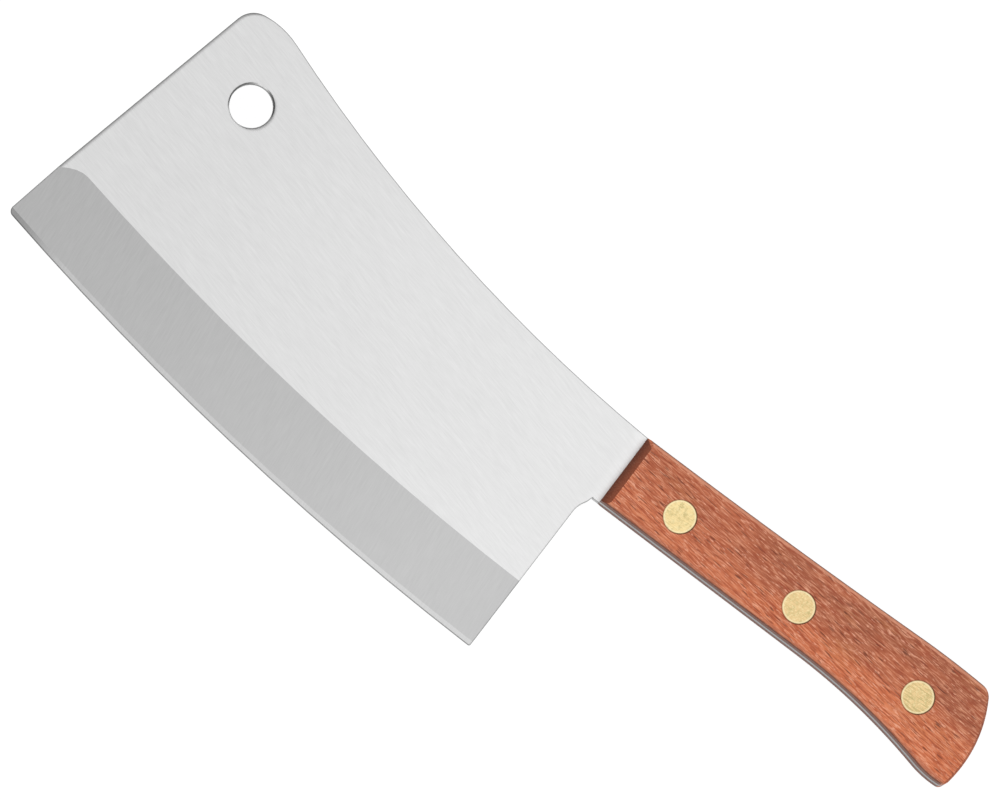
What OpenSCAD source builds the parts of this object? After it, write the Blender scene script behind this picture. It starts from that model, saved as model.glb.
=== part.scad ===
/* [Blade] */
// Length of the cutting edge, from the heel corner to the front corner
edge_l = 227.2; // [200:0.1:250]
// How far the cutting edge bows below the line between its corners
belly = 5.6; // [3:0.1:10]
// Thickness of the steel, blade and tang alike
blade_t = 4.8; // [3:0.1:7]
// Lean of the front edge toward the handle above its slight bend, in degrees
front_lean = 6.9; // [4:0.1:10]
// How far up the front edge that bend lies
bend_h = 24; // [15:0.5:40]
// How far the bend takes the front corner back from the line above it
bend_back = 0.6; // [0.2:0.1:1.2]
// Height of the blade where the hollow spine is lowest
spine_h = 97.1; // [80:0.1:120]
// How much higher than that the nose stands
nose_rise = 18.4; // [12:0.1:24]
// Radius of the corner between the front edge and the nose
nose_r = 8.5; // [6:0.5:12]
// Radius of the nose's crown, between that corner and the spine
crown_r = 31; // [24:1:38]
// Distance of the crown's middle from the front edge
crown_inset = 17; // [13:0.1:20]
// How far ahead of the heel corner the spine is lowest
spine_x = 45.5; // [40:0.5:60]
// Lean of the heel's edge toward the front, in degrees
heel_lean = 5.8; // [4:0.1:9]
// Radius of the hollow where the heel runs up to the tang
heel_r = 11; // [9:0.5:15]
// Radius on the front corner of the cutting edge
front_corner_r = 2.4; // [1:0.1:4]
// Radius on the heel corner of the cutting edge
heel_corner_r = 0.8; // [0.5:0.1:2]

/* [Grind] */
// Width of the ground bevel, measured up from the cutting edge
grind_w = 29.4; // [20:0.1:40]
// Width of the sharpening bevel along the cutting edge
sharp_w = 2; // [1:0.1:4]
// Thickness of the steel where the sharpening bevel starts
shoulder_t = 1.1; // [0.6:0.1:1.8]
// Thickness left along the cutting edge itself
edge_t = 0.12; // [0.08:0.01:0.3]
// Width of the relief along the front edge, on each face
relief_w = 10; // [6:0.5:14]
// Depth of that relief at the front edge
relief_d = 0.38; // [0.2:0.02:0.5]

/* [Hanging hole] */
// Diameter of the hole
hole_d = 15.9; // [8:0.1:20]
// How far the hole's middle lies behind the front corner of the cutting edge
hole_behind = 37.4; // [34:0.1:60]
// How far the hole's middle lies below the top of the nose
hole_below = 28.1; // [22:0.1:40]
// Width of the chamfer on the hole's rims
hole_chamfer = 0.5; // [0.2:0.1:1]

/* [Handle] */
// Slope of the handle's axis against the cutting edge, in degrees
handle_angle = 6.2; // [3:0.1:10]
// Length of the scales along the axis
handle_l = 160.5; // [150:0.1:175]
// Thickness of each wooden scale
scale_t = 8.5; // [6.5:0.1:11]
// How far ahead of the heel corner the scales' upper front corner lies
scale_start = 4.7; // [2:0.1:6]
// Height of the scales above the axis at their front end
front_above = 15.9; // [13:0.1:18]
// Depth of the scales below the axis, along their straight stretch
front_below = 12.2; // [11:0.1:16]
// How much higher than that the top edge's crest stands
crest_rise = 2.4; // [1.5:0.05:4]
// How far ahead of the butt's end the crest stands highest
crest_ahead = 27.3; // [20:0.1:35]
// Radius of the crest
crest_r = 330; // [250:10:400]
// Length of the underside's straight stretch
straight_l = 89.7; // [75:0.1:95]
// How much deeper than that stretch the flared butt is
flare_drop = 7.6; // [5:0.1:10]
// How far ahead of the butt's end the flare is deepest
flare_ahead = 5.4; // [4:0.1:12]
// Radius of the flare's underside
flare_r = 38.5; // [32:0.5:44]
// Radius of the round butt
butt_r = 48.6; // [44:0.1:60]
// How far below the axis the butt reaches furthest back
butt_below = 9.9; // [6:0.1:12]
// Radius of the butt's upper corner
butt_corner_r = 6; // [4.5:0.1:9]
// Radius of the butt's lower corner
beak_r = 2.6; // [2.4:0.1:4]
// Rounding of the scales' long edges
long_edge_r = 2.2; // [1:0.1:3.5]
// Easing along the edge of the butt
butt_easing = 0.8; // [0.4:0.1:1.2]
// How much the grip is sanded down from the spine and the neck, where the scales start
sanded_step = 0.6; // [0.2:0.1:1]
// Width of the bevel across the scales' front end
front_bevel = 3.3; // [2:0.1:5]
// How far down the front end that bevel reaches
front_bevel_t = 3; // [2:0.1:5]

/* [Rivets] */
// Diameter of the rivet heads
head_d = 12; // [9:0.1:14]
// Thickness of the rivet heads
head_t = 1.8; // [1:0.1:2.5]
// Outer diameter of the rivets' sleeves
sleeve_d = 6.4; // [5:0.1:8]
// Diameter of the rivets' pins
pin_d = 4; // [3:0.1:5]
// Place of the first rivet along the axis, behind the scales' front end
first_rivet_x = 26; // [18:0.1:32]
// How far ahead of the butt's end the last rivet sits
last_rivet_ahead = 27.6; // [22:0.1:40]

/* [Hidden] */
$fn = 96;
// Facets of the large arcs, which only the preview shows
fine = 720;
// How far the strips of a computed arc may stray from the true arc
arc_stray = 0.01;
// Number of strips across the rounding of a long edge
rounding_strips = 8;
// How far a cutting shape runs past what it cuts
over = 1;
// Clearance round the rivets' heads, sleeves and pins
rivet_clearance = 0.05;
// Gap left at the end of each sleeve and each pin
rivet_end_gap = 0.6;
// Length of the bare neck between the scales and the hollow of the heel
neck_l = 1.8;
// Angle at which the hand-sanded roundings meet the scales' faces, in degrees
edge_crease = 12;
// Angle at which the small arcs of the blade's outline meet its straight edges, in degrees
arc_crease = 5;
// Number of strips that make up the relief along the front edge
relief_strips = 4;

function unit(a) = [cos(a), sin(a)];
function perp(v) = [-v[1], v[0]];
function dir(v) = v / norm(v);
function bearing(v) = atan2(v[1], v[0]);
function turned(v, a) = [v[0] * cos(a) - v[1] * sin(a), v[0] * sin(a) + v[1] * cos(a)];

// The point on the line from p along the unit vector d that lies r from c, on the far or the near side
function on_line(p, d, c, r, side) =
    let (m = (c - p) * d, q = c - p - m * d) p + (m + side * sqrt(r * r - q * q)) * d;

// The point that lies ra from a and rb from b, to the left or the right of the way from a to b
function on_arcs(a, ra, b, rb, side) =
    let (l = norm(b - a), u = (b - a) / l, m = (ra * ra - rb * rb + l * l) / (2 * l))
    a + m * u + side * sqrt(ra * ra - m * m) * perp(u);

// The cutting edge is an arc through both corners, which lie on the X axis of the outline
edge_r = (edge_l * edge_l / 4 + belly * belly) / (2 * belly);
edge_c = [-edge_l / 2, edge_r - belly];

// The front edge runs from its corner over the bend to the nose, and its inner side faces the handle
front_foot = [-edge_l, 0];
front_dir = unit(90 - front_lean);
front_in = unit(-front_lean);
front_base = front_foot - bend_back * front_in;
front_bend = front_base + bend_h * front_dir;
low_dir = dir(front_bend - front_foot);
low_in = -perp(low_dir);

// The spine, the crown and the nose touch each other without a corner
nose_h = spine_h + nose_rise;
crown_foot = front_base + crown_inset * front_in;
crown_c = crown_foot + (nose_h - crown_r - crown_foot[1]) / front_dir[1] * front_dir;
crown_run = -spine_x - crown_c[0];
spine_r = (crown_run * crown_run + pow(crown_r - nose_rise, 2) - crown_r * crown_r) / (2 * nose_rise);
spine_c = [-spine_x, spine_h + spine_r];
nose_c = on_line(front_base + nose_r * front_in, front_dir, crown_c, crown_r - nose_r, 1);
nose_start = nose_c - nose_r * front_in;
nose_end = nose_c + nose_r * dir(nose_c - crown_c);
crown_end = crown_c + crown_r * dir(spine_c - crown_c);

// The handle's axis starts in the plane of the scales' front end
scale_top = on_line([-scale_start, 0], [0, 1], spine_c, spine_r, -1);
handle_o = scale_top - (front_above + sanded_step) * unit(handle_angle + 90);
function from_handle(p) = handle_o + turned(p, handle_angle);

// The heel's edge runs up to the hollow, which meets the underside of the neck ahead of the scales
heel_dir = unit(90 + heel_lean);
heel_out = unit(heel_lean);
neck_below = front_below + sanded_step;
neck = from_handle([-neck_l, -neck_below]);
heel_gap = heel_r * cos(arc_crease);
heel_c = on_line(heel_gap * heel_out, heel_dir, neck, heel_r, -1);
heel_end = heel_c - heel_gap * heel_out;

// Rounded corners of the cutting edge
front_gap = front_corner_r * cos(arc_crease);
front_corner_c = on_line(front_foot + front_gap * low_in, low_dir, edge_c, edge_r - front_gap, -1);
heel_corner_gap = heel_corner_r * cos(arc_crease);
heel_corner_c = on_line(-heel_corner_gap * heel_out, heel_dir, edge_c, edge_r - heel_corner_gap, -1);

// Outline of the grip, with a lead into the blade, along the axis: a hollow top edge runs up to the
// crest, and a hollow waist runs from the straight underside down to the flare, without corners
grip_lead = neck_l + over;
crest_c = [handle_l - crest_ahead, front_above + crest_rise - crest_r];
hollow_r = (crest_c[0] * crest_c[0] + crest_rise * crest_rise) / (2 * crest_rise) - crest_r;
hollow_c = [0, front_above + hollow_r];
flare_c = [handle_l - flare_ahead, flare_r - front_below - flare_drop];
waist_run = flare_c[0] - straight_l;
waist_r = (waist_run * waist_run + pow(flare_r - flare_drop, 2) - flare_r * flare_r) / (2 * flare_drop);
waist_c = [straight_l, -front_below - waist_r];
butt_c = [handle_l - butt_r, -butt_below];
beak_c = on_arcs(flare_c, flare_r - beak_r, butt_c, butt_r - beak_r, 1);
corner_c = on_arcs(crest_c, crest_r - butt_corner_r, butt_c, butt_r - butt_corner_r, -1);
bottom_start = [-grip_lead, -front_below];
waist_start = [straight_l, -front_below];
flare_start = waist_c + waist_r * dir(flare_c - waist_c);
beak_start = flare_c + flare_r * dir(beak_c - flare_c);
beak_end = butt_c + butt_r * dir(beak_c - butt_c);
corner_start = butt_c + butt_r * dir(corner_c - butt_c);
corner_end = crest_c + crest_r * dir(corner_c - crest_c);
crest_start = crest_c + crest_r * dir(hollow_c - crest_c);
top_end = on_line([-grip_lead, 0], [0, 1], hollow_c, hollow_r, -1);

// Points on an arc from a to b, without a itself, close enough for strips that hardly stray from it
function arc_points(c, a, b) =
    let (r = norm(a - c), start = bearing(a - c), turn = (bearing(b - c) - start + 540) % 360 - 180)
    let (steps = ceil(abs(turn) * PI / 180 * sqrt(r / (8 * arc_stray))))
    [for (i = [1 : steps]) c + r * unit(start + turn * i / steps)];

// The three stretches of that outline, each with its first point left to the one before it
bottom_edge = concat(
    [waist_start],
    arc_points(waist_c, waist_start, flare_start),
    arc_points(flare_c, flare_start, beak_start)
);
butt_edge = concat(
    arc_points(beak_c, beak_start, beak_end),
    arc_points(butt_c, beak_end, corner_start),
    arc_points(corner_c, corner_start, corner_end)
);
top_edge = concat(
    arc_points(crest_c, corner_end, crest_start),
    arc_points(hollow_c, crest_start, top_end)
);

// The rivets stand in a row at equal distances
rivet_pitch = (handle_l - first_rivet_x - last_rivet_ahead) / 2;

// The slopes of the ground faces, and the depth of the relief at x from the front edge
grind_slope = (blade_t - shoulder_t) / 2 / (grind_w - sharp_w);
sharp_slope = (shoulder_t - edge_t) / 2 / sharp_w;
function relief_depth(x) = relief_d * pow(1 - x / relief_w, 2);

// The finished part lies on its right scale, with the middle of its outline over the origin
x_min = front_corner_c[0] - front_corner_r;
x_max = from_handle(butt_c)[0] + butt_r;
y_max = max(nose_h, from_handle(corner_c)[1] + butt_corner_r);
module lying() {
    translate([-(x_min + x_max) / 2, -(y_max - belly) / 2, scale_t + blade_t / 2]) children();
}
module at_handle() {
    translate(handle_o) rotate(handle_angle) children();
}

// A round stretch of an outline from a to b, with a strip inside the chord that joins it to the rest
module bulge(c, r, a, b, facets = fine) {
    out = dir((a + b) / 2 - c);
    intersection() {
        translate(c) circle(r, $fn = facets);
        polygon([a - over * out, b - over * out, b + r * out, a + r * out]);
    }
}

// Outline of the blade up to the scales
module plate() {
    difference() {
        intersection() {
            translate(edge_c) circle(edge_r, $fn = fine);
            polygon([
                front_foot - 2 * belly * low_dir,
                front_bend,
                nose_start,
                nose_end,
                crown_end,
                from_handle([0, front_above + sanded_step + over]),
                from_handle([0, front_above - over]),
                from_handle([over, 0]),
                heel_end,
                -2 * belly * heel_dir
            ]);
        }
        translate(spine_c) circle(spine_r, $fn = fine);
        translate(heel_c) circle(heel_r);
        corner_cut(front_corner_c, front_corner_r, -low_in, dir(front_corner_c - edge_c));
        corner_cut(heel_corner_c, heel_corner_r, heel_out, dir(heel_corner_c - edge_c));
    }
    bulge(nose_c, nose_r, nose_start, nose_end);
    bulge(crown_c, crown_r, nose_end, crown_end);
}

// What a rounded corner leaves off, between two edges that lie on sides a and b of the arc's middle
module corner_cut(c, r, a, b) {
    difference() {
        polygon([c, c + 2 * r * a, c + 2 * r * (a + b), c + 2 * r * b]);
        translate(c) circle(r);
    }
}

// Outline of the grip, which the tang and both scales share
module grip() {
    polygon(concat([bottom_start], bottom_edge, butt_edge, top_edge));
}

// What is ground off one face: the long bevel and the sharpening bevel, both following the edge
module grind() {
    reach = asin(edge_l / 2 / edge_r) + grind_w / edge_r * 180 / PI;
    translate(edge_c) rotate(270 - reach) rotate_extrude(angle = 2 * reach, $fn = fine)
        polygon([
            [edge_r - grind_w - over / grind_slope, blade_t / 2 + over],
            [edge_r - sharp_w, shoulder_t / 2],
            [edge_r + over, edge_t / 2 - over * sharp_slope],
            [edge_r + over, blade_t / 2 + over]
        ]);
}

// What is polished off one face toward the front edge, in a few strips that grow steeper
module relief() {
    strip = relief_w / relief_strips;
    translate(front_base - 2 * belly * front_dir) rotate(-front_lean) rotate([-90, 0, 0])
        linear_extrude(nose_h + 3 * belly) mirror([0, 1]) polygon([
            for (i = [-1 : relief_strips - 1]) [i * strip, blade_t / 2 - relief_depth(i * strip)],
            [relief_w + strip, blade_t / 2 + relief_depth(relief_w - strip)],
            [relief_w + strip, blade_t / 2 + over],
            [-strip, blade_t / 2 + over]
        ]);
}

// The hanging hole with its chamfered rims
module hanging_hole() {
    hole_r = hole_d / 2;
    wide_r = hole_r + hole_chamfer + over;
    high = blade_t / 2 + over;
    rim = blade_t / 2 - hole_chamfer;
    translate([hole_behind - edge_l, nose_h - hole_below, 0]) rotate_extrude()
        polygon([[0, -high], [wide_r, -high], [hole_r, -rim], [hole_r, rim], [wide_r, high], [0, high]]);
}

module at_rivets() {
    for (i = [0 : 2]) translate([first_rivet_x + i * rivet_pitch, 0, 0]) children();
}

module rivet_hole(h) {
    translate([0, 0, -over]) cylinder(h = h + 2 * over, r = sleeve_d / 2 + rivet_clearance);
}

// One steel plate is the blade and the full tang
module blade() {
    color("silver") lying() difference() {
        translate([0, 0, -blade_t / 2]) linear_extrude(blade_t) {
            plate();
            at_handle() {
                grip();
                translate([-grip_lead, -neck_below]) square([grip_lead, neck_below]);
            }
        }
        for (face = [0, 1]) mirror([0, 0, face]) {
            grind();
            relief();
        }
        hanging_hole();
        at_handle() at_rivets() translate([0, 0, -blade_t / 2]) rivet_hole(blade_t);
    }
}

// A section carried along a path, out to its right; the section goes round clockwise, and its last
// point sees all the others
module swept(path, section) {
    last = len(path) - 1;
    n = len(section);
    out = [for (i = [1 : last]) -perp(dir(path[i] - path[i - 1]))];
    miter = [
        for (i = [0 : last])
            let (a = out[max(i - 1, 0)], b = out[min(i, last - 1)]) (a + b) / (1 + a * b)
    ];
    polyhedron(
        [for (i = [0 : last]) for (s = section) [each path[i] + s[0] * miter[i], s[1]]],
        [
            for (j = [0 : n - 3]) [n - 1, j, j + 1],
            for (j = [0 : n - 3]) [last * n + n - 1, last * n + j + 1, last * n + j],
            for (i = [0 : n : (last - 1) * n]) for (j = [0 : n - 1])
                let (k = (j + 1) % n) each [[i + j, i + n + j, i + n + k], [i + j, i + n + k, i + k]]
        ]
    );
}

// The same path with its corners moved to the middle of its strips
function staggered(p) =
    concat([p[0]], [for (i = [1 : len(p) - 1]) (p[i - 1] + p[i]) / 2], [p[len(p) - 1]]);

// What is rounded off a long edge along a stretch of the outline
module rounding(path) {
    depth = long_edge_r * cos(edge_crease);
    swept(staggered(path), [
        [over, scale_t - depth],
        for (i = [0 : rounding_strips])
            [-depth, scale_t - depth] + long_edge_r * unit(90 * i / rounding_strips),
        [-depth, scale_t + over],
        [over, scale_t + over]
    ]);
}

// What is eased off the edge of the butt, from a little before it to a little past it
module easing() {
    before = beak_start + over * perp(dir(flare_c - beak_start));
    after = corner_end + over * perp(dir(corner_end - crest_c));
    swept(staggered(concat([before, beak_start], butt_edge, [after])), [
        [over, scale_t - butt_easing - over],
        [-butt_easing - over, scale_t + over],
        [over, scale_t + over]
    ]);
}

// What is cut off square at the front end, and the bevel there
module front_end() {
    steep = front_bevel_t / front_bevel;
    translate([0, -front_below - over, 0]) rotate([-90, 0, 0]) mirror([0, 1, 0])
        linear_extrude(front_below + front_above + 2 * over)
            polygon([
                [-grip_lead - over, -over],
                [0, -over],
                [0, scale_t - front_bevel_t],
                [front_bevel + over / steep, scale_t + over],
                [-grip_lead - over, scale_t + over]
            ]);
}

// One scale in the frame of the handle, with its flat inner face down
module wooden_scale() {
    past_beak = on_line([handle_l + over, 0], [0, 1], flare_c, flare_r, -1);
    past_corner = on_line([handle_l + over, 0], [0, 1], crest_c, crest_r, 1);
    difference() {
        linear_extrude(scale_t) grip();
        rounding(concat([bottom_start], bottom_edge, arc_points(flare_c, beak_start, past_beak)));
        rounding(concat([past_corner], arc_points(crest_c, past_corner, corner_end), top_edge));
        easing();
        front_end();
        at_rivets() {
            rivet_hole(scale_t);
            translate([0, 0, scale_t - head_t])
                cylinder(h = head_t + over, r = head_d / 2 + rivet_clearance);
        }
    }
}

module left_scale() {
    color("sienna") lying() at_handle() translate([0, 0, blade_t / 2]) wooden_scale();
}

module right_scale() {
    color("sienna") lying() at_handle() mirror([0, 0, 1]) translate([0, 0, blade_t / 2]) wooden_scale();
}

module at_rivet(i) {
    lying() at_handle() translate([first_rivet_x + i * rivet_pitch, 0, 0]) children();
}

// The heads are flush with the scales, and their inner sides seat on the floors of the recesses
head_top = blade_t / 2 + scale_t;
head_seat = head_top - head_t;

// The sleeve's head lies in the left scale, and its tube runs through the tang into the right scale
module rivet_sleeve(i) {
    bore_r = pin_d / 2 + rivet_clearance;
    mouth = rivet_end_gap - head_seat;
    color("khaki") at_rivet(i) rotate_extrude() polygon([
        [0, head_top],
        [head_d / 2, head_top],
        [head_d / 2, head_seat],
        [sleeve_d / 2, head_seat],
        [sleeve_d / 2, mouth],
        [bore_r, mouth],
        [bore_r, head_seat],
        [0, head_seat]
    ]);
}

// The pin's head lies in the right scale, and its shank fills the sleeve up to a small gap
module rivet_pin(i) {
    color("khaki") at_rivet(i) rotate_extrude() polygon([
        [0, -head_top],
        [head_d / 2, -head_top],
        [head_d / 2, -head_seat],
        [pin_d / 2, -head_seat],
        [pin_d / 2, head_seat - rivet_end_gap],
        [0, head_seat - rivet_end_gap]
    ]);
}

blade();
left_scale();
right_scale();
rivet_sleeve(0);  // front_rivet_sleeve
rivet_pin(0);  // front_rivet_pin
rivet_sleeve(1);  // middle_rivet_sleeve
rivet_pin(1);  // middle_rivet_pin
rivet_sleeve(2);  // rear_rivet_sleeve
rivet_pin(2);  // rear_rivet_pin
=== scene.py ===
"""Looks of the cleaver: materials for the CAD nodes, the photograph's camera and a white studio."""
import math
import bpy
from mathutils import Matrix, Vector

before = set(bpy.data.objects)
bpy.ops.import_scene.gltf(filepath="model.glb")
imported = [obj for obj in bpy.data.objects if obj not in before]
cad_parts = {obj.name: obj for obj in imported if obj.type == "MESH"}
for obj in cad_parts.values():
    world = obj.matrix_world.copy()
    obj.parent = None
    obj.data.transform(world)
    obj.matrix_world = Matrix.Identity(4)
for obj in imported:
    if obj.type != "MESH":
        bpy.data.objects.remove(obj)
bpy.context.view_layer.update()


# ---------------------------------------------------------------- camera
# A long lens, almost straight above the cleaver and a little toward the image's lower left
IMAGE_RIGHT = Vector((0.728846, 0.684678, 0.0))
IMAGE_UP = Vector((-0.684678, 0.728846, 0.0))
LEFTWARD, DOWNWARD = 0.070, 0.081
AIM = Vector((-0.0180957, 0.0166786, 0.0133))
CAMERA_DISTANCE = 6.0
LENS_MM, SENSOR_MM = 602.779, 36.0
CLIP_START, CLIP_END = 0.01, 50.0


def add_camera():
    data = bpy.data.cameras.new("camera")
    data.lens = LENS_MM
    data.sensor_width = SENSOR_MM
    data.clip_start = CLIP_START
    data.clip_end = CLIP_END
    camera = bpy.data.objects.new("camera", data)
    bpy.context.scene.collection.objects.link(camera)
    away = (IMAGE_RIGHT * -LEFTWARD + IMAGE_UP * -DOWNWARD + Vector((0, 0, 1))).normalized()
    x_axis = IMAGE_UP.cross(away).normalized()
    y_axis = away.cross(x_axis).normalized()
    turn = Matrix((x_axis, y_axis, away)).transposed()
    camera.matrix_world = Matrix.Translation(AIM + away * CAMERA_DISTANCE) @ turn.to_4x4()
    bpy.context.scene.camera = camera


add_camera()
bpy.context.scene.view_settings.view_transform = "Standard"


# ---------------------------------------------------------------- shader helpers
MIX_FACTOR, MIX_A, MIX_B = 0, 6, 7      # input sockets of a colour Mix node
MIX_RESULT = 2                          # and its colour output


class Shader:
    """Builds the nodes of one material or of the world."""

    def __init__(self, tree):
        self.tree = tree
        tree.nodes.clear()

    def fill(self, socket, value):
        """Links an input to another node's socket, or sets it to a constant."""
        if isinstance(value, bpy.types.NodeSocket):
            self.tree.links.new(value, socket)
        else:
            socket.default_value = value

    def node(self, kind, inputs=None, **settings):
        made = self.tree.nodes.new(kind)
        for name, value in settings.items():
            setattr(made, name, value)
        for name, value in (inputs or {}).items():
            self.fill(made.inputs[name], value)
        return made

    def math(self, operation, a, b=0.0, c=0.0):
        return self.node("ShaderNodeMath", {0: a, 1: b, 2: c}, operation=operation).outputs[0]

    def plus(self, a, b):
        return self.math("ADD", a, b)

    def minus(self, a, b):
        return self.math("SUBTRACT", a, b)

    def times(self, a, b):
        return self.math("MULTIPLY", a, b)

    def rest(self, share):
        return self.minus(1.0, share)

    def over(self, value, limit):
        """1 where the value is over the limit, otherwise 0."""
        return self.math("GREATER_THAN", value, limit)

    def length(self, a, b):
        return self.math("SQRT", self.plus(self.times(a, a), self.times(b, b)))

    def dot(self, a, b):
        made = self.node("ShaderNodeVectorMath", {0: a, 1: b}, operation="DOT_PRODUCT")
        return made.outputs["Value"]

    def ramp(self, value, low, high, out_low=0.0, out_high=1.0, smooth=True):
        """Carries the span low to high over to out_low to out_high, and stops at its ends."""
        kind = "SMOOTHSTEP" if smooth else "LINEAR"
        made = self.node("ShaderNodeMapRange", interpolation_type=kind, clamp=True)
        for index, item in enumerate((value, low, high, out_low, out_high)):
            self.fill(made.inputs[index], item)
        return made.outputs[0]

    def blend(self, share, a, b):
        """Between the numbers a and b, by the share of b."""
        return self.ramp(share, 0.0, 1.0, a, b, smooth=False)

    def mix(self, share, a, b, blend="MIX"):
        """Between the colours a and b, by the share of b."""
        made = self.node("ShaderNodeMix", data_type="RGBA", blend_type=blend, clamp_factor=True)
        for index, value in ((MIX_FACTOR, share), (MIX_A, a), (MIX_B, b)):
            self.fill(made.inputs[index], (*value, 1.0) if isinstance(value, tuple) else value)
        return made.outputs[MIX_RESULT]

    def grey(self, level):
        return self.node("ShaderNodeCombineColor", {0: level, 1: level, 2: level}).outputs[0]

    def shade(self, colour, level):
        return self.mix(1.0, colour, self.grey(level), "MULTIPLY")

    def shift(self, colour, *tones):
        """Lightens and darkens a colour by the sum of the tones."""
        total = 1.0
        for tone in tones:
            total = self.plus(tone, total)
        return self.shade(colour, total)

    def centred(self, noise, amount):
        """Turns a noise about 0.5 into one about 0."""
        return self.times(self.minus(noise, 0.5), amount)

    def noise(self, vector, scale=1.0, detail=2.0, roughness=0.5, distortion=0.0):
        return self.node("ShaderNodeTexNoise", {
            "Vector": vector, "Scale": scale, "Detail": detail,
            "Roughness": roughness, "Distortion": distortion}).outputs[0]

    def stretch(self, vector, scale):
        return self.node("ShaderNodeMapping", {"Vector": vector, "Scale": scale}).outputs[0]

    def place(self, vector, location=(0, 0, 0), rotation=0.0, scale=(1, 1, 1)):
        """Moves the origin to location, turns the axes by rotation degrees, then stretches."""
        turned = self.node("ShaderNodeMapping", {
            "Vector": vector, "Location": location,
            "Rotation": (0, 0, math.radians(rotation))}, vector_type="TEXTURE").outputs[0]
        return self.stretch(turned, scale)

    def split(self, vector):
        return self.node("ShaderNodeSeparateXYZ", {0: vector}).outputs

    def object_place(self):
        return self.node("ShaderNodeTexCoord").outputs["Object"]

    def surface(self, settings, relief, strength, distance):
        """Ends a material in a Principled surface with a fine relief."""
        bump = self.node("ShaderNodeBump", {
            "Strength": strength, "Distance": distance, "Height": relief})
        body = self.node("ShaderNodeBsdfPrincipled", {**settings, "Normal": bump.outputs[0]})
        self.close(body)

    def close(self, last, output="ShaderNodeOutputMaterial"):
        self.node(output, {"Surface": last.outputs[0]})


def material(name):
    made = bpy.data.materials.new(name)
    made.use_nodes = True
    return made, Shader(made.node_tree)


# ---------------------------------------------------------------- places on the part
EDGE_MIDDLE = (-0.079102, 1.0942686)            # of the cutting edge's arc
HANDLE_START = (0.03158, 0.0268562, 0.0109)     # on the handle's axis
HANDLE_ANGLE = 6.2
FRONT_ABOVE = 0.0159                            # the front end's upper corner, over the axis
HOLE = (-0.155302, 0.032239)
ROUND_HOLE = 0.010                              # what lies nearer to its middle is its rim or wall
FIRST_RIVET, RIVET_PITCH = 0.026, 0.05345


def on_handle(s, place):
    """Along the handle's axis, and across it toward the spine's side."""
    along, across, _ = s.split(s.place(place, HANDLE_START, HANDLE_ANGLE))
    return along, across


def from_rivet(s, place):
    """Distance from the axis of the nearest rivet, and how far behind that axis it is."""
    along, across = on_handle(s, place)
    behind = s.math("WRAP", s.minus(along, FIRST_RIVET), RIVET_PITCH / 2, -RIVET_PITCH / 2)
    return s.length(behind, across), behind


# ---------------------------------------------------------------- steel
# Tones and colours are linear. Each span is where it starts and ends, then its values there
# (0 and 1 where none are given). Uprightness is the normal's share along Z, from 1 to 0.
LEVEL = 0.9                                     # more upright than this is a face, not a side
STEEL_SIDE, HOLE_WALL = (0.9, 0.6), (0.6, 0.3)  # spans of uprightness
BEVEL_LEAN, SHARP_LEAN = 0.035, 0.15            # least leans of the grind and of its sharp strip
FLAT_TONE, BEVEL_TONE = 0.742, 0.505
# Spans along X; the drifts are painted light, lighter toward +X
FLAT_LIGHT_DRIFT = (-0.20, 0.05, -0.085, 0.085)
BEVEL_LIGHT_DRIFT = (-0.20, 0.0, -0.14, 0.10)
STRIP_TONE = (-0.19, -0.16, 0.335, 0.570)
# painted shade on the sides: slight on the blade, heavy on the tang
SIDE_SHADE_BY_X = (0.02, 0.04, 0.05, 0.76)        # of the blade, and of the tang
NEAR_SCALE_LIGHT = (-0.006, -0.001, 0.0, 0.11)             # along the handle: lighter next to the scales
# Brush lines of the flat and grinding lines of the bevel: degrees, and stretch
FLAT_COARSE, FLAT_FINE = (-9, (90, 1200, 90)), (-6, (200, 3000, 200))
BEVEL_COARSE, BEVEL_FINE = (104, (90, 1200, 90)), (100, (170, 3200, 170))
LINE_DETAIL, LINE_ROUGHNESS = 3.0, 0.55
CLOUD = (11.0, 3.0, 0.5)                        # scale, detail and roughness of the noise
COARSE_AMOUNT, FINE_AMOUNT, CLOUD_AMOUNT = 0.12, 0.17, 0.05
FLAT_ROUGHNESS, BEVEL_ROUGHNESS, ROUGHNESS_AMOUNT = 0.36, 0.42, 0.10
STEEL_RELIEF = (0.2, 0.00001)                   # strength and distance of the bump
# Painted shade on the broken edges, found by how far a rounded normal turns from the face's own
EDGE_RADIUS, FRONT_RADIUS, EDGE_SAMPLES = 0.0008, 0.0021, 8
EDGE_TURN, EDGE_SHADE = (0.997, 0.92), 0.6
FRONT_TURN, FRONT_EDGE_SHADE = (-0.06, -0.30), 0.55
# The hole's rim has painted shade round two directions (degrees, and the span of the
# cosine from them), and painted light between them
SHADED_RIGHT, SHADED_LEFT = (50, (0.70, 0.97)), (172, (0.45, 0.92))
LIT_HOLE_EDGE, SHADED_HOLE_EDGE = 0.03, 0.65
LIT_HOLE_RIM, SHADED_HOLE_RIM, HOLE_WALL_SHADE, GLINT = 0.0, 0.92, 0.93, 0.28


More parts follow.
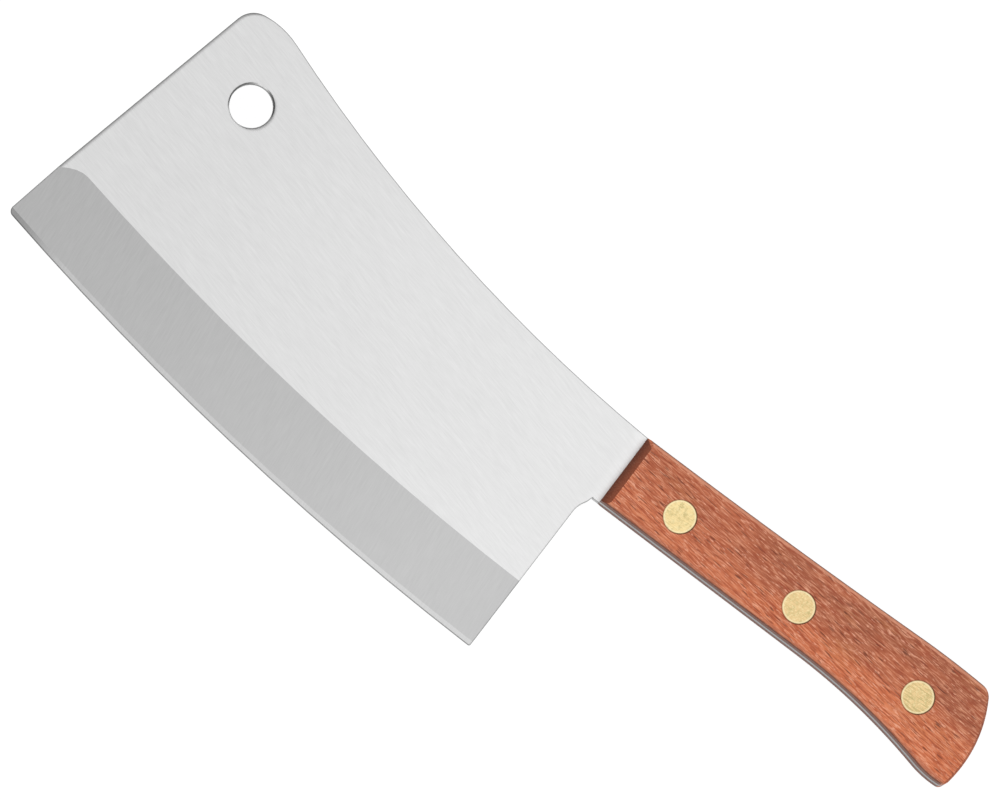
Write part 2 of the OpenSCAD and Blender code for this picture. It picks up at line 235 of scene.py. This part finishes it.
def steel_material():
    made, s = material("ground_steel")
    place = s.object_place()
    normal = s.node("ShaderNodeNewGeometry").outputs["True Normal"]
    x, y, _ = s.split(place)
    nx, ny, nz = s.split(normal)
    upright = s.math("ABSOLUTE", nz)
    level = s.over(upright, LEVEL)

    # How far the face leans outward from the middle of the edge's arc
    dx, dy = s.minus(x, EDGE_MIDDLE[0]), s.minus(y, EDGE_MIDDLE[1])
    outward = s.plus(s.times(nx, dx), s.times(ny, dy))
    lean = s.math("DIVIDE", outward, s.length(dx, dy))
    bevel = s.times(s.over(lean, BEVEL_LEAN), level)
    sharp = s.times(s.over(lean, SHARP_LEAN), level)

    def scratched(turn, scale):
        turned = s.place(place, rotation=turn, scale=scale)
        return s.noise(turned, detail=LINE_DETAIL, roughness=LINE_ROUGHNESS)

    coarse = s.mix(bevel, scratched(*FLAT_COARSE), scratched(*BEVEL_COARSE))
    fine = s.mix(bevel, scratched(*FLAT_FINE), scratched(*BEVEL_FINE))
    cloud = s.noise(place, *CLOUD)

    base = s.mix(bevel, (FLAT_TONE,) * 3, (BEVEL_TONE,) * 3)
    base = s.mix(sharp, base, s.grey(s.ramp(x, *STRIP_TONE)))
    # painted light: the steel gets lighter toward +X
    light_drift = s.mix(bevel, s.ramp(x, *FLAT_LIGHT_DRIFT, smooth=False),
                  s.ramp(x, *BEVEL_LIGHT_DRIFT, smooth=False))
    along, _ = on_handle(s, place)
    # painted light on the steel next to the scales, against the shade they cast there
    painted_light_near_scales = s.times(s.ramp(along, *NEAR_SCALE_LIGHT), level)
    base = s.shift(base, s.centred(coarse, COARSE_AMOUNT), s.centred(fine, FINE_AMOUNT),
                   s.centred(cloud, CLOUD_AMOUNT), light_drift, painted_light_near_scales)

    # Where a point lies round the hole
    hx, hy = s.minus(x, HOLE[0]), s.minus(y, HOLE[1])
    reach = s.length(hx, hy)
    at_hole = s.math("LESS_THAN", reach, ROUND_HOLE)

    def lies_toward(degrees, span):
        turn = math.radians(degrees)
        reached = s.plus(s.times(hx, math.cos(turn)), s.times(hy, math.sin(turn)))
        return s.ramp(s.math("DIVIDE", reached, reach), *span)

    # painted shade on the hole's rim toward two directions
    rim_shade = s.math("MAXIMUM", lies_toward(*SHADED_RIGHT), lies_toward(*SHADED_LEFT))

    # Painted shade along the broken edges, most of all along the front edge above the grind
    broken = s.node("ShaderNodeBevel", {"Radius": EDGE_RADIUS}, samples=EDGE_SAMPLES)
    rounded = s.node("ShaderNodeBevel", {"Radius": FRONT_RADIUS}, samples=EDGE_SAMPLES)
    edge_shade_level = s.blend(at_hole, EDGE_SHADE, s.blend(rim_shade, LIT_HOLE_EDGE, SHADED_HOLE_EDGE))
    painted_edge_shade = s.ramp(s.dot(broken.outputs[0], normal), *EDGE_TURN, 0.0, edge_shade_level)
    forward = s.split(rounded.outputs[0])[0]
    front = s.times(s.ramp(forward, *FRONT_TURN),
                    s.minus(FRONT_EDGE_SHADE, s.times(bevel, FRONT_EDGE_SHADE)))

    # Painted shade on the sides, deeper still inside the hole
    side = s.ramp(upright, *STEEL_SIDE)
    wall = s.ramp(upright, *HOLE_WALL)
    hole_shade = s.blend(wall, s.blend(rim_shade, LIT_HOLE_RIM, SHADED_HOLE_RIM), HOLE_WALL_SHADE)
    sides = s.times(side, s.blend(at_hole, s.ramp(x, *SIDE_SHADE_BY_X), hole_shade))
    base = s.shift(base, s.times(s.times(at_hole, side), s.blend(rim_shade, GLINT, 0.0)))
    # painted shade along the edges, over the front edge and on the sides darkens the colour
    base = s.shade(base, s.times(s.times(s.rest(painted_edge_shade), s.rest(front)), s.rest(sides)))

    rough = s.plus(s.centred(coarse, ROUGHNESS_AMOUNT),
                   s.blend(bevel, FLAT_ROUGHNESS, BEVEL_ROUGHNESS))
    s.surface({"Base Color": base, "Metallic": 1.0, "Roughness": rough},
              s.plus(coarse, fine), *STEEL_RELIEF)
    return made


# ---------------------------------------------------------------- wood
GRAIN_ANGLE = HANDLE_ANGLE - 5.0        # the grain runs a few degrees off the handle's axis
WANDER, WANDER_AMOUNT = (9, 40, 40), 0.0035
RIPPLE, RIPPLE_AMOUNT = (90, 260, 260), 0.0006
# Noises along the grain: stretch, detail and roughness
GRAIN = {
    "bands": ((9, 150, 110), 3.0, 0.55),
    "patches": ((34, 120, 120), 2.0, 0.5),
    "streaks": ((75, 1400, 1000), 4.0, 0.66),
    "lines": ((30, 1000, 800), 3.0, 0.6),
    "fibres": ((240, 2500, 2000), 3.0, 0.6),
    "flecks": ((380, 1700, 1700), 2.0, 0.5),
    "pores": ((190, 1900, 1900), 1.0, 0.4),
}
BANDS, LIGHT_BAND, DARK_BAND = (0.32, 0.68), (0.61, 0.178, 0.082), (0.47, 0.127, 0.059)
# Browner over the handle's axis and redder under it, more so toward the butt
UPPER_HALF, LOWER_HALF = (0.345, 0.106, 0.055), (0.69, 0.190, 0.078)
UPPER_ACROSS, LOWER_ACROSS = (-0.008, 0.005), (0.0, -0.007)
UPPER_ALONG, LOWER_ALONG = (0.02, 0.08, 0.55, 1.0), (0.03, 0.09, 0.0, 0.55)
UPPER_PATCHES = (0.35, 0.6, 0.5, 1.0)
# Coats that follow the noises, each over the ones before: the noise, its span, the colour
COATS = (
    ("patches", (0.55, 0.75, 0.0, 0.4), (0.52, 0.200, 0.078)),
    ("lines", (0.52, 0.66, 0.0, 0.6), (0.40, 0.088, 0.040)),
    ("lines", (0.48, 0.36, 0.0, 0.45), (0.76, 0.270, 0.130)),
    ("streaks", (0.48, 0.66, 0.0, 0.7), (0.32, 0.064, 0.031)),
    ("streaks", (0.46, 0.30, 0.0, 0.45), (0.76, 0.325, 0.19)),
    ("fibres", (0.50, 0.66, 0.0, 0.6), (0.78, 0.365, 0.225)),
    ("fibres", (0.48, 0.34, 0.0, 0.6), (0.28, 0.055, 0.027)),
    ("flecks", (0.60, 0.72, 0.0, 0.6), (0.90, 0.46, 0.31)),
    ("pores", (0.64, 0.72, 0.0, 0.75), (0.12, 0.032, 0.020)),
)
LINES_ACROSS = (0.003, -0.006, 0.25, 1.0)       # the lines fade over the axis
# A painted sheen along the long edges: spans of uprightness, and of the place across the handle
SHEEN_FROM, SHEEN_TO = (0.985, 0.94), (0.3, 0.6)
SHEEN_ACROSS, SHEEN_EDGE = (-0.005, 0.005, 0.2, 0.55), (0.78, 0.355, 0.225)
# Painted shade on the long sides, the right scale's and the left one's. A face that leans endward
# isn't one.
NOT_SIDE_LEAN, WOOD_SIDE = (0.25, 0.45), (0.82, 0.35)
RIGHT_SIDE_SHADE, LEFT_SIDE_SHADE = (0.105, 0.048, 0.036), (0.085, 0.028, 0.017)
SIDE_SHADE_HEIGHT, SIDE_SHADE_SHARE = (0.0085, 0.0132), 0.86
# Painted shade on the front bevel, whose upper end is mitred, darkest nearest the tang; end grain
# at the butt
FRONT_LEAN, FRONT_DEPTH, FRONT_SHADE_SHARE = (-0.3, -0.5), (0.0078, 0.0109), 0.87
FRONT_SHADE_DEEP, FRONT_SHADE_OUTER = (0.062, 0.016, 0.009), (0.19, 0.048, 0.022)
MITRE_SLOPE, MITRE_BLUR = 1.3, (0.0003, -0.0003)
BUTT_LEAN, BUTT_END, BUTT_SHARE = (0.45, 0.8), (0.20, 0.062, 0.042), 0.55
# A dark joint round each rivet, with painted shadow that makes it strongest behind it
JOINT_DISTANCE, SHADOW_BEHIND = (0.00655, 0.00615), (-0.005, 0.005, 0.3, 0.95)
JOINT_NOISE, JOINT_RAGGED, JOINT = 900.0, 0.00022, (0.060, 0.026, 0.012)
WOOD_ROUGHNESS, WOOD_SHINE = (0.3, 0.8, 0.58, 0.46), 0.15
FIBRE_HEIGHT, PORE_DEPTH, WOOD_RELIEF = 0.6, (0.68, 0.75), (0.2, 0.0001)


def wood_material():
    made, s = material("reddish_hardwood")
    place = s.object_place()
    nx, ny, nz = s.split(s.node("ShaderNodeNewGeometry").outputs["Normal"])
    upright = s.math("ABSOLUTE", nz)
    turn = math.radians(HANDLE_ANGLE)
    endward = s.plus(s.times(nx, math.cos(turn)), s.times(ny, math.sin(turn)))
    z = s.split(place)[2]
    depth = s.math("ABSOLUTE", s.minus(z, HANDLE_START[2]))
    along, across = on_handle(s, place)

    # The grain wanders a little to both sides
    gx, gy, gz = s.split(s.place(place, HANDLE_START, GRAIN_ANGLE))
    wander = s.noise(s.place(place, HANDLE_START, GRAIN_ANGLE, WANDER))
    ripple = s.noise(s.place(place, HANDLE_START, GRAIN_ANGLE, RIPPLE))
    aside = s.plus(s.centred(wander, WANDER_AMOUNT), s.centred(ripple, RIPPLE_AMOUNT))
    warped = s.node("ShaderNodeCombineXYZ", {0: gx, 1: s.plus(gy, aside), 2: gz}).outputs[0]

    grain = {name: s.noise(s.stretch(warped, scale), detail=detail, roughness=roughness)
             for name, (scale, detail, roughness) in GRAIN.items()}
    upper = s.times(s.ramp(across, *UPPER_ACROSS), s.ramp(grain["patches"], *UPPER_PATCHES))
    upper = s.times(upper, s.ramp(along, *UPPER_ALONG))
    lower = s.times(s.ramp(across, *LOWER_ACROSS), s.ramp(along, *LOWER_ALONG))
    colour = s.mix(s.ramp(grain["bands"], *BANDS), LIGHT_BAND, DARK_BAND)
    colour = s.mix(upper, colour, UPPER_HALF)
    colour = s.mix(lower, colour, LOWER_HALF)
    for name, span, tint in COATS:
        share = s.ramp(grain[name], *span)
        if name == "lines":
            share = s.times(s.ramp(across, *LINES_ACROSS), share)
        colour = s.mix(share, colour, tint)

    # Painted sheen lightens the long edges, painted shade darkens the long sides and the front
    # bevel, and the end grain at the butt is darker
    side_on = s.rest(s.ramp(s.math("ABSOLUTE", endward), *NOT_SIDE_LEAN))
    painted_sheen = s.times(s.ramp(upright, *SHEEN_FROM), s.ramp(upright, *SHEEN_TO))
    painted_sheen = s.times(s.times(painted_sheen, side_on), s.ramp(across, *SHEEN_ACROSS))
    colour = s.mix(painted_sheen, colour, SHEEN_EDGE)
    # painted shade on the long sides
    sides = s.times(s.ramp(upright, *WOOD_SIDE), side_on)
    side_shade_colour = s.mix(s.ramp(z, *SIDE_SHADE_HEIGHT), RIGHT_SIDE_SHADE, LEFT_SIDE_SHADE)
    colour = s.mix(s.times(sides, SIDE_SHADE_SHARE), colour, side_shade_colour)
    # painted shade on the front bevel, darkest nearest the tang
    mitre = s.minus(along, s.times(s.minus(FRONT_ABOVE, across), MITRE_SLOPE))
    front = s.times(s.ramp(endward, *FRONT_LEAN), s.ramp(mitre, *MITRE_BLUR))
    front_shade_colour = s.mix(s.ramp(depth, *FRONT_DEPTH), FRONT_SHADE_DEEP, FRONT_SHADE_OUTER)
    colour = s.mix(s.times(front, FRONT_SHADE_SHARE), colour, front_shade_colour)
    colour = s.mix(s.times(s.ramp(endward, *BUTT_LEAN), BUTT_SHARE), colour, BUTT_END)

    distance, behind = from_rivet(s, place)
    ragged = s.plus(distance, s.centred(s.noise(place, JOINT_NOISE), JOINT_RAGGED))
    joint_and_shadow = s.times(s.ramp(ragged, *JOINT_DISTANCE), s.over(upright, LEVEL))
    # dark joint round each rivet, with painted shadow behind it
    colour = s.mix(s.times(joint_and_shadow, s.ramp(behind, *SHADOW_BEHIND)), colour, JOINT)

    rough = s.ramp(grain["fibres"], *WOOD_ROUGHNESS, smooth=False)
    relief = s.minus(s.times(grain["fibres"], FIBRE_HEIGHT), s.ramp(grain["pores"], *PORE_DEPTH))
    s.surface({"Base Color": colour, "Roughness": rough, "Specular IOR Level": WOOD_SHINE},
              relief, *WOOD_RELIEF)
    return made


# ---------------------------------------------------------------- brass
FRONT_BRASS, OTHER_BRASS = (0.93, 0.735, 0.372), (0.845, 0.620, 0.316)
BEHIND_FRONT_RIVET = (0.06, 0.08)               # spans along X, here and for the scratches
SCRATCH_SHARE = (0.11, 0.13, 0.35, 0.85)        # the rear head is scratched the most
SCRATCH_DEGREES, SCRATCH_STRETCH = 8, (200, 3400, 200)
SCRATCH_DETAIL, SCRATCH_ROUGHNESS = 4.0, 0.6
BLOTCH_NOISE = (620.0, 4.0, 0.66, 0.3)          # scale, detail, roughness and distortion
SPECK_NOISE = (1500.0, 2.0, 0.6)
BLOTCHES, TARNISHED = (0.44, 0.70), (0.62, 0.51, 0.24)
SPECKS, BARE = (0.48, 0.66, 0.0, 0.5), (0.99, 0.86, 0.50)
SCRATCHES, SCRATCHED = (0.50, 0.62), (0.55, 0.44, 0.20)
# The heads' rims, as spans of the distance from the rivet's axis: a painted highlight ring, and
# painted shade at the edge
HIGHLIGHT_FROM, HIGHLIGHT_TO, HIGHLIGHT_SHARE = (0.0052, 0.0055), (0.0060, 0.0057), 0.5
HIGHLIGHT_COLOUR, HEAD_RIM_SHADE = (1.0, 0.89, 0.60), (0.42, 0.30, 0.14)
HEAD_RIM_SHADE_DISTANCE = (0.00572, 0.006, 0.0, 0.6)
BRASS_ROUGHNESS, BRASS_RELIEF = (0.3, 0.7, 0.36, 0.5), (0.3, 0.00002)


def brass_material():
    made, s = material("sanded_brass")
    place = s.object_place()
    x = s.split(place)[0]
    turned = s.place(place, rotation=SCRATCH_DEGREES, scale=SCRATCH_STRETCH)
    scratches = s.noise(turned, detail=SCRATCH_DETAIL, roughness=SCRATCH_ROUGHNESS)
    distance, _ = from_rivet(s, place)
    rim_highlight = s.times(s.ramp(distance, *HIGHLIGHT_FROM), s.ramp(distance, *HIGHLIGHT_TO))
    colour = s.mix(s.ramp(x, *BEHIND_FRONT_RIVET), FRONT_BRASS, OTHER_BRASS)
    # Each coat goes over the ones before: its share, then its colour
    coats = (
        (s.ramp(s.noise(place, *BLOTCH_NOISE), *BLOTCHES), TARNISHED),
        (s.ramp(s.noise(place, *SPECK_NOISE), *SPECKS), BARE),
        (s.ramp(scratches, *SCRATCHES, 0.0, s.ramp(x, *SCRATCH_SHARE)), SCRATCHED),
        # painted highlight ring near the head's rim
        (s.times(rim_highlight, HIGHLIGHT_SHARE), HIGHLIGHT_COLOUR),
        # painted shade at the very edge of the head
        (s.ramp(distance, *HEAD_RIM_SHADE_DISTANCE), HEAD_RIM_SHADE),
    )
    for share, tint in coats:
        colour = s.mix(share, colour, tint)
    rough = s.ramp(scratches, *BRASS_ROUGHNESS, smooth=False)
    s.surface({"Base Color": colour, "Metallic": 1.0, "Roughness": rough},
              scratches, *BRASS_RELIEF)
    return made


# ---------------------------------------------------------------- the CAD nodes
WELD_DISTANCE = 0.000002
BLADE_SMOOTH_DEGREES, OTHER_SMOOTH_DEGREES = 2.5, 30.0


def soft_shading(name, degrees):
    """A modifier's node group: welds the faces' seams and shades smooth up to an angle."""
    group = bpy.data.node_groups.new(name, "GeometryNodeTree")
    for way in ("INPUT", "OUTPUT"):
        group.interface.new_socket("Geometry", in_out=way, socket_type="NodeSocketGeometry")
    nodes, links = group.nodes, group.links
    start = nodes.new("NodeGroupInput")
    end = nodes.new("NodeGroupOutput")
    weld = nodes.new("GeometryNodeMergeByDistance")
    weld.inputs["Distance"].default_value = WELD_DISTANCE
    angle = nodes.new("GeometryNodeInputMeshEdgeAngle")
    under = nodes.new("FunctionNodeCompare")
    under.data_type = "FLOAT"
    under.operation = "LESS_THAN"
    under.inputs[1].default_value = math.radians(degrees)
    faces = nodes.new("GeometryNodeSetShadeSmooth")
    faces.domain = "FACE"
    edges = nodes.new("GeometryNodeSetShadeSmooth")
    edges.domain = "EDGE"
    links.new(start.outputs[0], weld.inputs["Geometry"])
    links.new(weld.outputs[0], faces.inputs["Geometry"])
    links.new(faces.outputs[0], edges.inputs["Geometry"])
    links.new(angle.outputs["Unsigned Angle"], under.inputs[0])
    links.new(under.outputs[0], edges.inputs["Shade Smooth"])
    links.new(edges.outputs[0], end.inputs[0])
    return group


def dress(node, paint, shading):
    if node.material_slots:
        for slot in node.material_slots:
            slot.material = paint
    else:
        node.data.materials.append(paint)
    node.modifiers.new("shading", "NODES").node_group = shading


steel, wood, brass = steel_material(), wood_material(), brass_material()
blade_shading = soft_shading("soft_shading_fine", BLADE_SMOOTH_DEGREES)
other_shading = soft_shading("soft_shading_wide", OTHER_SMOOTH_DEGREES)
for name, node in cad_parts.items():
    if name == "blade":
        dress(node, steel, blade_shading)
    else:
        dress(node, wood if "scale" in name else brass, other_shading)
        node.modifiers.new("weight", "WEIGHTED_NORMAL").keep_sharp = True


# ---------------------------------------------------------------- floor and light
FLOOR_HALF, FLOOR_HEIGHT = 4.0, -0.0002
FLOOR_BOUNCE = (0.55, 0.55, 0.55, 1)            # what lights the part from the floor
FLOOR_SHADOW = (0.14, 0.14, 0.14, 1)            # the share of the white floor that shadows dim
FLOOR_GLOW = 0.93
WHITE = (1, 1, 1, 1)
ACROSS_HANDLE = (-0.108, 0.994, 0.0)
SKY_LEVEL = 0.86
SOFTBOXES = (0.30, 0.70, 0.0, 0.55)             # from straight above toward the handle's sides
HORIZON = (0.05, 0.40, 0.30, 1.0)
SIDE_BALANCE = (-1.0, 1.0, 0.94, 1.06)


def sees_background(s):
    """1 for the rays that show the white background: the camera's, mirrored and let through."""
    path = s.node("ShaderNodeLightPath")
    seen = s.math("MAXIMUM", path.outputs["Is Camera Ray"], path.outputs["Is Glossy Ray"])
    return s.math("MAXIMUM", seen, path.outputs["Is Transmission Ray"])


def add_floor():
    """White for the rays that show it, and a plain grey for the light that it sends back."""
    corners = [(x * FLOOR_HALF, y * FLOOR_HALF, FLOOR_HEIGHT)
               for x, y in ((-1, -1), (1, -1), (1, 1), (-1, 1))]
    mesh = bpy.data.meshes.new("floor")
    mesh.from_pydata(corners, [], [(0, 1, 2, 3)])
    floor = bpy.data.objects.new("floor", mesh)
    bpy.context.scene.collection.objects.link(floor)
    paper, s = material("white_paper")
    bounce = s.node("ShaderNodeBsdfDiffuse", {"Color": FLOOR_BOUNCE})
    shadow = s.node("ShaderNodeBsdfDiffuse", {"Color": FLOOR_SHADOW})
    glow = s.node("ShaderNodeEmission", {"Color": WHITE, "Strength": FLOOR_GLOW})
    lit = s.node("ShaderNodeAddShader", {0: shadow.outputs[0], 1: glow.outputs[0]})
    s.close(s.node("ShaderNodeMixShader", {
        0: sees_background(s), 1: bounce.outputs[0], 2: lit.outputs[0]}))
    mesh.materials.append(paper)


def add_sky():
    """Two wide softboxes along the handle's sides, and light that fades toward the horizon."""
    world = bpy.data.worlds.new("studio")
    world.use_nodes = True
    bpy.context.scene.world = world
    s = Shader(world.node_tree)
    direction = s.node("ShaderNodeTexCoord").outputs["Generated"]
    sideways = s.dot(direction, ACROSS_HANDLE)
    height = s.split(direction)[2]
    level = s.plus(s.ramp(s.math("ABSOLUTE", sideways), *SOFTBOXES), SKY_LEVEL)
    level = s.times(level, s.ramp(height, *HORIZON))
    level = s.times(level, s.ramp(sideways, *SIDE_BALANCE, smooth=False))
    level = s.math("MAXIMUM", level, sees_background(s))
    s.close(s.node("ShaderNodeBackground", {"Color": WHITE, "Strength": level}),
            output="ShaderNodeOutputWorld")


add_floor()
add_sky()
